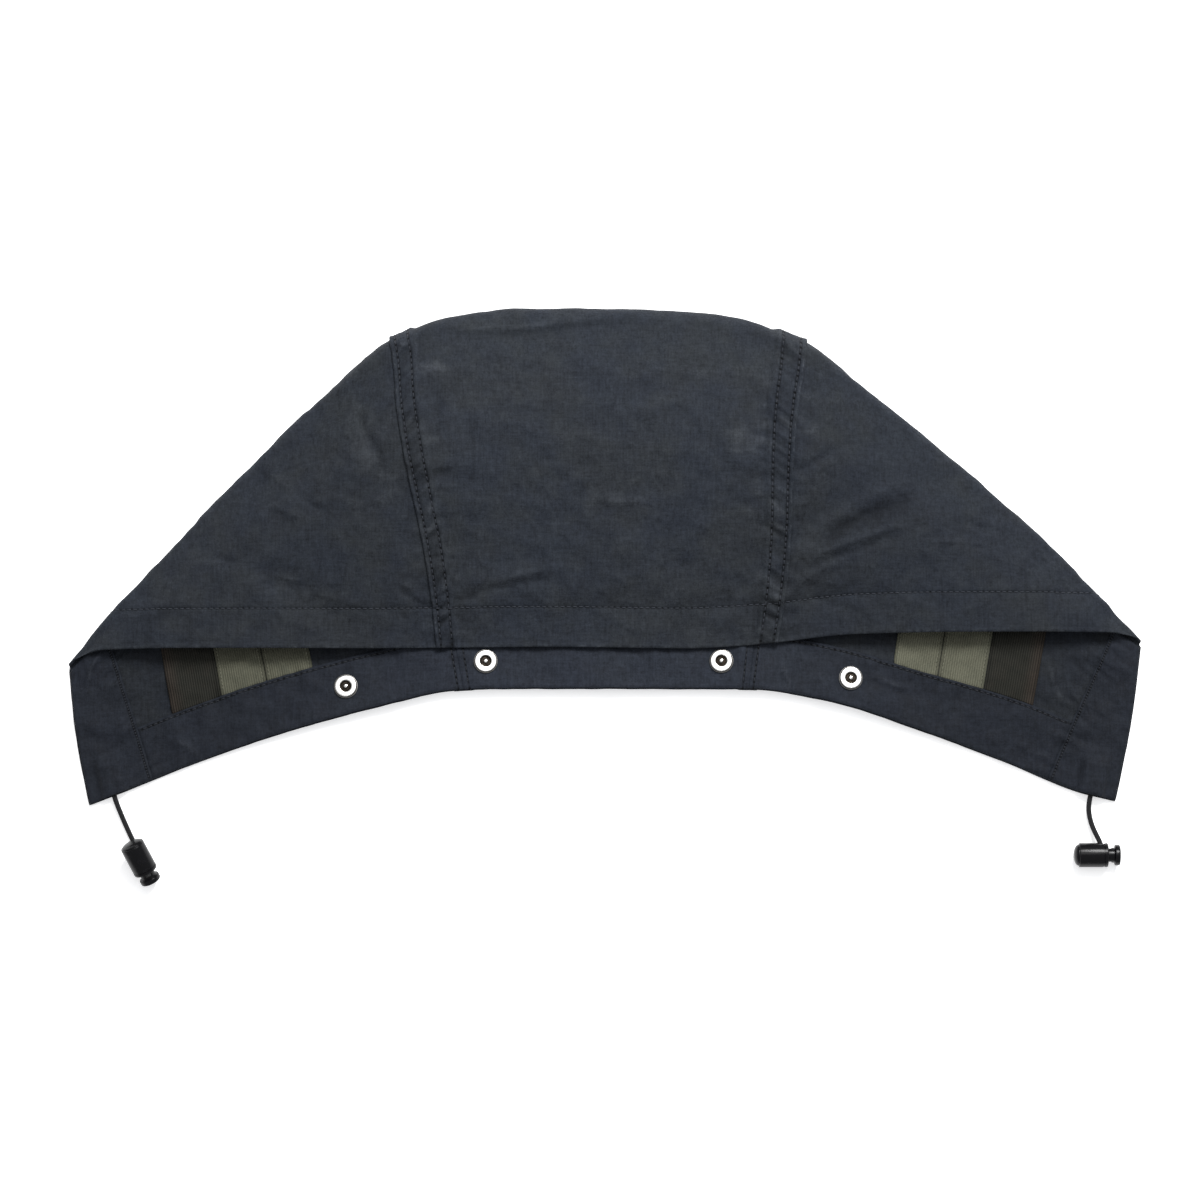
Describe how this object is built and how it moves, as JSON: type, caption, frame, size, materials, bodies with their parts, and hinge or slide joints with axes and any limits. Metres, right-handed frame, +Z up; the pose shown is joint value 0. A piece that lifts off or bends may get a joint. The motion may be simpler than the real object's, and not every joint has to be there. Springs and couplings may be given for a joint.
{
  "type": "detachable hood",
  "caption": "Three-panel cloth hood lying flat, with lapped seams, a drawcord tunnel round the face opening, cord locks and ring snaps on its neck facing.",
  "frame": {"origin": "on the surface the hood lies on, under the middle of the cloth body's outline", "axes": "+X across the hood from its left fold corner to its right one, +Y from the neck edge to the crown fold, +Z up, away from the surface"},
  "size_m": [0.514, 0.2767, 0.0261],
  "materials": {
    "shell_cloth": "matte garment-dyed waxed cotton",
    "facing_cloth": "matte garment-dyed waxed cotton",
    "brown_tape": "matte ribbed woven tape",
    "olive_tape": "matte ribbed woven tape",
    "snap_metal": "satin nickel plate",
    "cord": "braided elastic cord",
    "lock_plastic": "satin black moulded plastic"
  },
  "bodies": {
    "hood": {"center_panel": "shell_cloth", "side_panel_left": "shell_cloth", "side_panel_right": "shell_cloth", "face_facing_left": "facing_cloth", "face_facing_brow": "facing_cloth", "face_facing_right": "facing_cloth", "tunnel_facing_left": "facing_cloth", "tunnel_facing_right": "facing_cloth", "neck_facing_left": "facing_cloth", "neck_facing_center": "facing_cloth", "neck_facing_right": "facing_cloth", "inner_tape_left_brown": "brown_tape", "inner_tape_left_olive_outer": "olive_tape", "inner_tape_left_olive_inner": "olive_tape", "inner_tape_right_brown": "brown_tape", "inner_tape_right_olive_outer": "olive_tape", "inner_tape_right_olive_inner": "olive_tape", "snap_socket_1": "snap_metal", "snap_socket_2": "snap_metal", "snap_socket_3": "snap_metal", "snap_socket_4": "snap_metal", "snap_cap_1": "snap_metal", "snap_cap_2": "snap_metal", "snap_cap_3": "snap_metal", "snap_cap_4": "snap_metal", "drawcord_left": "cord", "drawcord_right": "cord", "cord_lock_barrel_left": "lock_plastic", "cord_lock_barrel_right": "lock_plastic"},
    "button_left": {"cord_lock_button_left": "lock_plastic"},
    "button_right": {"cord_lock_button_right": "lock_plastic"}
  },
  "joints": [
    {"name": "press_left", "type": "slide", "parent": "hood", "child": "button_left", "axis": [-0.4033, 0.8197, 0.4067], "range_m": [0, 0.0023], "stiffness_N_per_m": 1500},
    {"name": "press_right", "type": "slide", "parent": "hood", "child": "button_right", "axis": [-1, 0, 0], "range_m": [0, 0.0023], "stiffness_N_per_m": 1500}
  ]
}
